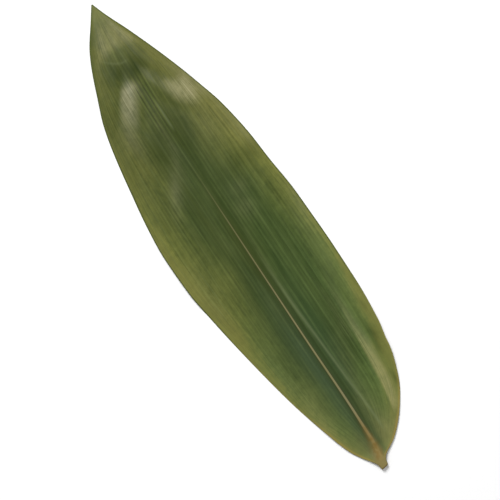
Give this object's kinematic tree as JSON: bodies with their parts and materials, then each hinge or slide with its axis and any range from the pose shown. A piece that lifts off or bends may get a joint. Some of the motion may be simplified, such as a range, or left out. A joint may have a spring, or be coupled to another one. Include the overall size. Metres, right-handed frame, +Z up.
{
  "type": "bamboo leaf",
  "caption": "Broad lance-shaped bamboo leaf with a short cut stalk, a pale midrib, parallel side veins and a gently waved blade, lying flat with its glossy face up",
  "frame": {"origin": "centre of the bounding box of the leaf, on the flat surface that the leaf lies on", "axes": "+X from the cut stalk to the tip, +Y towards the left margin as seen from the stalk with the glossy face up, +Z up, out of the glossy face"},
  "size_m": [0.275, 0.0756, 0.0065],
  "materials": {
    "leaf_blade": "satin, waxy upper face and matt paler underside"
  },
  "bodies": {
    "root": {"leaf": "leaf_blade"}
  },
  "joints": []
}
